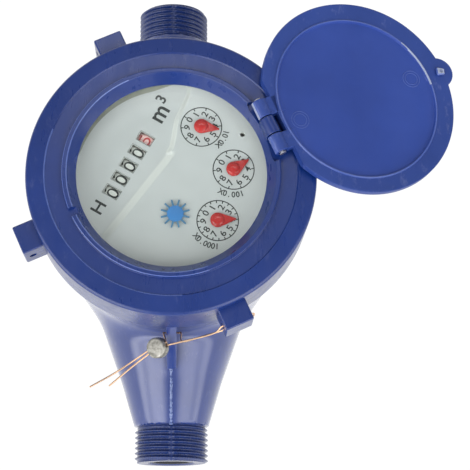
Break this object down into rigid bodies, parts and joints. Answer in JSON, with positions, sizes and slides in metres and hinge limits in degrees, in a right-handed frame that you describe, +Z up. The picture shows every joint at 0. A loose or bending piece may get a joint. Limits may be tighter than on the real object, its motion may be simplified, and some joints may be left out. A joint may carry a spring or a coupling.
{
  "type": "water meter",
  "caption": "Blue plastic water meter, DN15, threaded ends, round dial under glass with pointers and number drums, hinged lid open, wire seal.",
  "frame": {"origin": "middle of the flat base", "axes": "+Z up through the dial, Y along the pipe with the inlet at -Y"},
  "size_m": [0.146, 0.17, 0.1074],
  "materials": {
    "blue_plastic": "moulded gloss, worn",
    "glass": "clear",
    "dial_plastic": "satin",
    "white_plastic": "moulded",
    "grey_plastic": "moulded",
    "dark_plastic": "moulded",
    "red_plastic": "moulded gloss",
    "star_blue": "moulded gloss",
    "rubber": "moulded",
    "steel": "drawn",
    "magnet": "coated",
    "copper": "drawn copper wire",
    "lead": "crimped, dull"
  },
  "bodies": {
    "housing": {"meter_body": "blue_plastic", "head_ring": "blue_plastic", "hinge_pin": "steel", "window": "glass", "window_gasket": "rubber", "register_cup": "grey_plastic", "dial": "dial_plastic", "upper_plate": "white_plastic", "lower_plate": "white_plastic", "pressure_plate": "dark_plastic", "body_gasket": "rubber", "shield_ring": "steel", "chamber_upper": "white_plastic", "chamber_lower": "white_plastic", "pivot_pin": "steel", "inlet_strainer": "white_plastic", "drum_shaft": "steel", "carry_shaft": "steel", "seal_wire": "copper", "seal_pellet": "lead"},
    "lid_body": {"lid": "blue_plastic"},
    "rotor": {"impeller": "white_plastic", "drive_magnet": "magnet"},
    "follower": {"follower_gear": "white_plastic", "follower_magnet": "magnet"},
    "star": {"star_arbor": "white_plastic", "star_wheel": "star_blue"},
    "first_idler_body": {"first_idler": "white_plastic"},
    "litre": {"arbor_litre": "white_plastic", "pointer_litre": "red_plastic"},
    "idler_a_body": {"idler_a": "white_plastic"},
    "ten_litre": {"arbor_ten_litre": "white_plastic", "pointer_ten_litre": "red_plastic"},
    "idler_b_body": {"idler_b": "white_plastic"},
    "hundred_litre": {"arbor_hundred_litre": "white_plastic", "pointer_hundred_litre": "red_plastic"},
    "crown": {"crown_gear": "white_plastic"},
    "drum_1_body": {"drum_1": "white_plastic"},
    "drum_2_body": {"drum_2": "white_plastic"},
    "drum_3_body": {"drum_3": "white_plastic"},
    "drum_4_body": {"drum_4": "white_plastic"},
    "drum_5_body": {"drum_5": "red_plastic"},
    "carry_1_body": {"carry_pinion_1": "white_plastic"},
    "carry_2_body": {"carry_pinion_2": "white_plastic"},
    "carry_3_body": {"carry_pinion_3": "white_plastic"},
    "carry_4_body": {"carry_pinion_4": "white_plastic"}
  },
  "joints": [
    {"name": "impeller_spin", "type": "hinge", "parent": "housing", "child": "rotor", "pos_m": [0, 0, 0.035], "axis": [0, 0, 1], "continuous": true},
    {"name": "follower_spin", "type": "hinge", "parent": "housing", "child": "follower", "pos_m": [0, 0, 0.075], "axis": [0, 0, 1], "continuous": true},
    {"name": "star_spin", "type": "hinge", "parent": "housing", "child": "star", "pos_m": [0.00115, -0.01174, 0.08], "axis": [0, 0, 1], "continuous": true},
    {"name": "first_idler_spin", "type": "hinge", "parent": "housing", "child": "first_idler_body", "pos_m": [0.00686, -0.01691, 0.08], "axis": [0, 0, 1], "continuous": true},
    {"name": "litre_spin", "type": "hinge", "parent": "housing", "child": "litre", "pos_m": [0.01465, -0.01376, 0.08], "axis": [0, 0, 1], "continuous": true},
    {"name": "idler_a_spin", "type": "hinge", "parent": "housing", "child": "idler_a_body", "pos_m": [0.01589, -0.00521, 0.08], "axis": [0, 0, 1], "continuous": true},
    {"name": "ten_litre_spin", "type": "hinge", "parent": "housing", "child": "ten_litre", "pos_m": [0.01983, 0.00328, 0.08], "axis": [0, 0, 1], "continuous": true},
    {"name": "idler_b_spin", "type": "hinge", "parent": "housing", "child": "idler_b_body", "pos_m": [0.01379, 0.00946, 0.08], "axis": [0, 0, 1], "continuous": true},
    {"name": "hundred_litre_spin", "type": "hinge", "parent": "housing", "child": "hundred_litre", "pos_m": [0.00944, 0.01775, 0.08], "axis": [0, 0, 1], "continuous": true},
    {"name": "crown_spin", "type": "hinge", "parent": "housing", "child": "crown", "pos_m": [-0.00536, 0.01822, 0.075], "axis": [0, 0, 1], "continuous": true},
    {"name": "drum_1_spin", "type": "hinge", "parent": "housing", "child": "drum_1_body", "pos_m": [-0.01854, -0.00441, 0.0833], "axis": [0.503, 0.8643, 0], "continuous": true},
    {"name": "drum_2_spin", "type": "hinge", "parent": "housing", "child": "drum_2_body", "pos_m": [-0.01591, 0.0001, 0.0833], "axis": [0.503, 0.8643, 0], "continuous": true},
    {"name": "drum_3_spin", "type": "hinge", "parent": "housing", "child": "drum_3_body", "pos_m": [-0.01328, 0.00461, 0.0833], "axis": [0.503, 0.8643, 0], "continuous": true},
    {"name": "drum_4_spin", "type": "hinge", "parent": "housing", "child": "drum_4_body", "pos_m": [-0.01066, 0.00912, 0.0833], "axis": [0.503, 0.8643, 0], "continuous": true},
    {"name": "drum_5_spin", "type": "hinge", "parent": "housing", "child": "drum_5_body", "pos_m": [-0.00803, 0.01363, 0.0833], "axis": [0.503, 0.8643, 0], "continuous": true},
    {"name": "carry_1_spin", "type": "hinge", "parent": "housing", "child": "carry_1_body", "pos_m": [-0.02284, 0.00111, 0.0782], "axis": [0.503, 0.8643, 0], "continuous": true},
    {"name": "carry_2_spin", "type": "hinge", "parent": "housing", "child": "carry_2_body", "pos_m": [-0.02022, 0.00562, 0.0782], "axis": [0.503, 0.8643, 0], "continuous": true},
    {"name": "carry_3_spin", "type": "hinge", "parent": "housing", "child": "carry_3_body", "pos_m": [-0.01759, 0.01013, 0.0782], "axis": [0.503, 0.8643, 0], "continuous": true},
    {"name": "carry_4_spin", "type": "hinge", "parent": "housing", "child": "carry_4_body", "pos_m": [-0.01496, 0.01465, 0.0782], "axis": [0.503, 0.8643, 0], "continuous": true},
    {"name": "lid_hinge", "type": "hinge", "parent": "housing", "child": "lid_body", "pos_m": [0.03101, 0.01394, 0.105], "axis": [0.4099, -0.9121, 0], "range_deg": [0, 192.5]}
  ],
  "couplings": [
    {"joint": "follower_spin", "follows": "impeller_spin", "ratio": 1},
    {"joint": "star_spin", "follows": "impeller_spin", "ratio": -0.77778},
    {"joint": "first_idler_spin", "follows": "impeller_spin", "ratio": 0.29167},
    {"joint": "litre_spin", "follows": "impeller_spin", "ratio": -0.097222},
    {"joint": "idler_a_spin", "follows": "impeller_spin", "ratio": 0.032407},
    {"joint": "ten_litre_spin", "follows": "impeller_spin", "ratio": -0.0097222},
    {"joint": "idler_b_spin", "follows": "impeller_spin", "ratio": 0.0032407},
    {"joint": "hundred_litre_spin", "follows": "impeller_spin", "ratio": -0.00097222},
    {"joint": "crown_spin", "follows": "impeller_spin", "ratio": 0.00032407},
    {"joint": "drum_5_spin", "follows": "impeller_spin", "ratio": -0.000097222},
    {"joint": "drum_4_spin", "follows": "impeller_spin", "ratio": -0.0000097222},
    {"joint": "drum_3_spin", "follows": "impeller_spin", "ratio": -0.00000097222},
    {"joint": "drum_2_spin", "follows": "impeller_spin", "ratio": -0.000000097222},
    {"joint": "drum_1_spin", "follows": "impeller_spin", "ratio": -0.0000000097222},
    {"joint": "carry_4_spin", "follows": "impeller_spin", "ratio": 0.000032407},
    {"joint": "carry_3_spin", "follows": "impeller_spin", "ratio": 0.0000032407},
    {"joint": "carry_2_spin", "follows": "impeller_spin", "ratio": 0.00000032407},
    {"joint": "carry_1_spin", "follows": "impeller_spin", "ratio": 0.000000032407}
  ]
}
